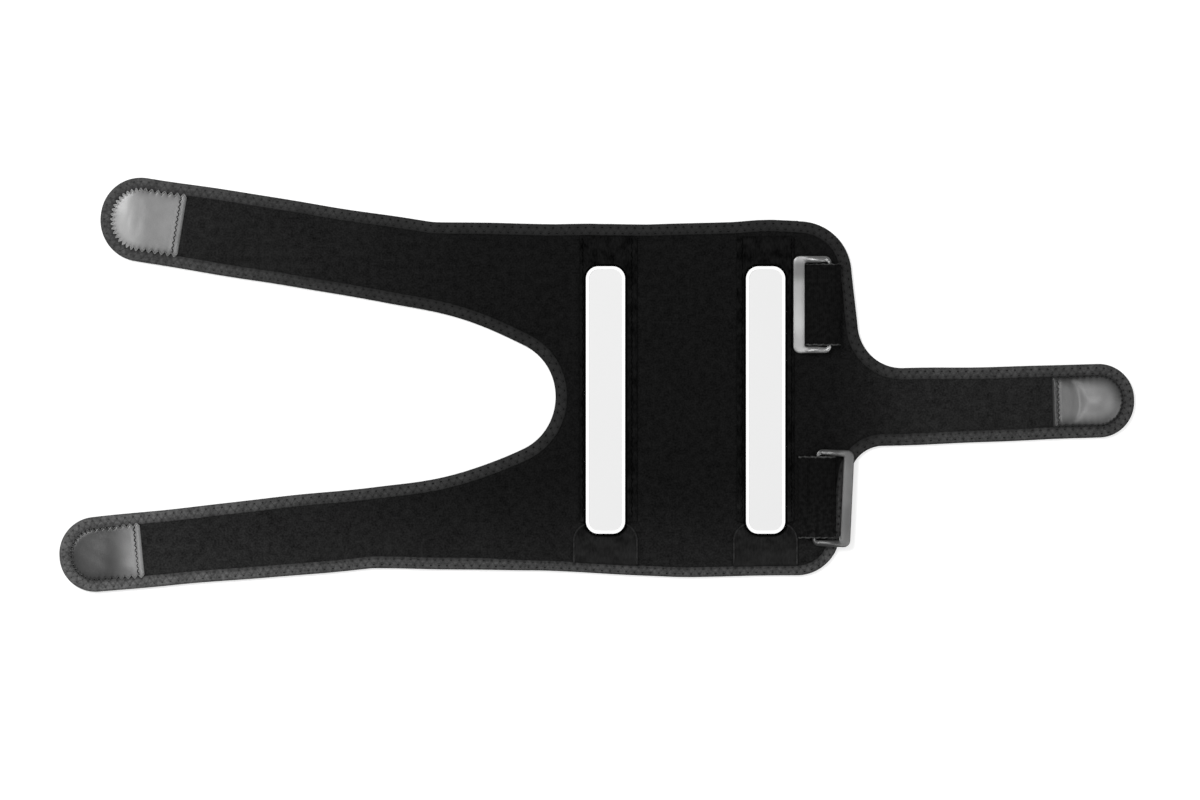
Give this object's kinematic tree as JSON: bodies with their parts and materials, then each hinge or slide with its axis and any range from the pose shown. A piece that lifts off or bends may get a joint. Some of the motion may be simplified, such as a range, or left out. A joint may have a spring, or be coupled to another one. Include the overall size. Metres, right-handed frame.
{
  "type": "knee brace",
  "caption": "Open wrap knee brace laid flat: padded panel with kneecap notch, wrap straps with pull tabs, turn-back rings and flat side stays in pockets.",
  "frame": {"origin": "on the underside of the panel, midway between the two stays", "axes": "+X towards the short middle strap, +Y towards the upper long strap, +Z out of the skin side"},
  "size_m": [0.7849, 0.3027, 0.0091],
  "materials": {
    "loop_cover": "black loop-pile knit",
    "foam_core": "closed-cell rubber foam",
    "brushed_lining": "black brushed knit",
    "edge_tape": "dark grey folded knit tape, zigzag stitched",
    "pocket_cloth": "black knit band with zigzag rows",
    "webbing": "black woven webbing",
    "ring_metal": "satin grey",
    "stay_plastic": "smooth off-white with a whiter rim",
    "pull_tab": "glossy grey coated cloth, zigzag stitched",
    "hook_tape": "black moulded hook pad"
  },
  "bodies": {
    "centre_panel": {"centre_panel_cover": "loop_cover", "centre_panel_foam": "foam_core", "centre_panel_lining": "brushed_lining", "centre_panel_edge_tape": "edge_tape"},
    "left_wing": {"left_wing_cover": "loop_cover", "left_wing_foam": "foam_core", "left_wing_lining": "brushed_lining", "left_wing_edge_tape": "edge_tape", "left_stay_pocket": "pocket_cloth"},
    "right_wing": {"right_wing_cover": "loop_cover", "right_wing_foam": "foam_core", "right_wing_lining": "brushed_lining", "right_wing_edge_tape": "edge_tape", "right_stay_pocket": "pocket_cloth", "upper_keeper": "webbing", "lower_keeper": "webbing"},
    "upper_strap": {"upper_strap_cover": "loop_cover", "upper_strap_foam": "foam_core", "upper_strap_lining": "brushed_lining", "upper_strap_edge_tape": "edge_tape"},
    "upper_tip": {"upper_tip_cover": "loop_cover", "upper_tip_foam": "foam_core", "upper_tip_lining": "brushed_lining", "upper_tip_edge_tape": "edge_tape", "upper_pull_tab": "pull_tab", "upper_hook_pad": "hook_tape"},
    "lower_strap": {"lower_strap_cover": "loop_cover", "lower_strap_foam": "foam_core", "lower_strap_lining": "brushed_lining", "lower_strap_edge_tape": "edge_tape"},
    "lower_tip": {"lower_tip_cover": "loop_cover", "lower_tip_foam": "foam_core", "lower_tip_lining": "brushed_lining", "lower_tip_edge_tape": "edge_tape", "lower_pull_tab": "pull_tab", "lower_hook_pad": "hook_tape"},
    "middle_strap": {"middle_strap_cover": "loop_cover", "middle_strap_foam": "foam_core", "middle_strap_lining": "brushed_lining", "middle_strap_edge_tape": "edge_tape"},
    "middle_tip": {"middle_tip_cover": "loop_cover", "middle_tip_foam": "foam_core", "middle_tip_lining": "brushed_lining", "middle_tip_edge_tape": "edge_tape", "middle_pull_tab": "pull_tab", "middle_hook_pad": "hook_tape"},
    "upper_ring": {"upper_ring": "ring_metal"},
    "lower_ring": {"lower_ring": "ring_metal"},
    "left_stay": {"left_stay": "stay_plastic"},
    "right_stay": {"right_stay": "stay_plastic"},
    "left_flap": {"left_tuck_flap": "pocket_cloth"},
    "right_flap": {"right_tuck_flap": "pocket_cloth"}
  },
  "joints": [
    {"name": "left_wing_fold", "type": "hinge", "parent": "centre_panel", "child": "left_wing", "pos_m": [-0.03, 0, 0.0036], "axis": [0, 1, 0], "range_deg": [0, 60]},
    {"name": "right_wing_fold", "type": "hinge", "parent": "centre_panel", "child": "right_wing", "pos_m": [0.03, 0, 0.0036], "axis": [0, -1, 0], "range_deg": [0, 60]},
    {"name": "upper_strap_fold", "type": "hinge", "parent": "left_wing", "child": "upper_strap", "pos_m": [-0.186, 0.09785, 0.0036], "axis": [0.1599, 0.9871, 0], "range_deg": [0, 55]},
    {"name": "upper_tip_fold", "type": "hinge", "parent": "upper_strap", "child": "upper_tip", "pos_m": [-0.30248, 0.11672, 0.0036], "axis": [0.1599, 0.9871, 0], "range_deg": [0, 55]},
    {"name": "lower_strap_fold", "type": "hinge", "parent": "left_wing", "child": "lower_strap", "pos_m": [-0.186, -0.0893, 0.0036], "axis": [-0.0958, 0.9954, 0], "range_deg": [0, 55]},
    {"name": "lower_tip_fold", "type": "hinge", "parent": "lower_strap", "child": "lower_tip", "pos_m": [-0.30346, -0.10061, 0.0036], "axis": [-0.0958, 0.9954, 0], "range_deg": [0, 55]},
    {"name": "middle_strap_fold", "type": "hinge", "parent": "right_wing", "child": "middle_strap", "pos_m": [0.149, -0.0052, 0.0036], "axis": [0.0288, -0.9996, 0], "range_deg": [0, 50]},
    {"name": "middle_tip_fold", "type": "hinge", "parent": "middle_strap", "child": "middle_tip", "pos_m": [0.22997, -0.00287, 0.0036], "axis": [0.0288, -0.9996, 0], "range_deg": [0, 50]},
    {"name": "upper_ring_swing", "type": "hinge", "parent": "right_wing", "child": "upper_ring", "pos_m": [0.105, 0.0696, 0.00635], "axis": [0, 1, 0], "range_deg": [0, 165]},
    {"name": "lower_ring_swing", "type": "hinge", "parent": "right_wing", "child": "lower_ring", "pos_m": [0.0952, -0.071, 0.00635], "axis": [-0.0471, -0.9989, 0], "range_deg": [0, 160]},
    {"name": "left_stay_slide", "type": "slide", "parent": "left_wing", "child": "left_stay", "axis": [0, 1, 0], "range_m": [-0.15, 0]},
    {"name": "left_flap_lift", "type": "hinge", "parent": "left_wing", "child": "left_flap", "pos_m": [-0.0584, -0.1195, 0.0045], "axis": [1, 0, 0], "range_deg": [0, 120]},
    {"name": "right_stay_slide", "type": "slide", "parent": "right_wing", "child": "right_stay", "axis": [0, 1, 0], "range_m": [-0.15, 0]},
    {"name": "right_flap_lift", "type": "hinge", "parent": "right_wing", "child": "right_flap", "pos_m": [0.0584, -0.1195, 0.0045], "axis": [1, 0, 0], "range_deg": [0, 120]}
  ],
  "couplings": [
    {"joint": "upper_tip_fold", "follows": "upper_strap_fold", "ratio": 1},
    {"joint": "lower_tip_fold", "follows": "lower_strap_fold", "ratio": 1},
    {"joint": "middle_tip_fold", "follows": "middle_strap_fold", "ratio": 1}
  ]
}
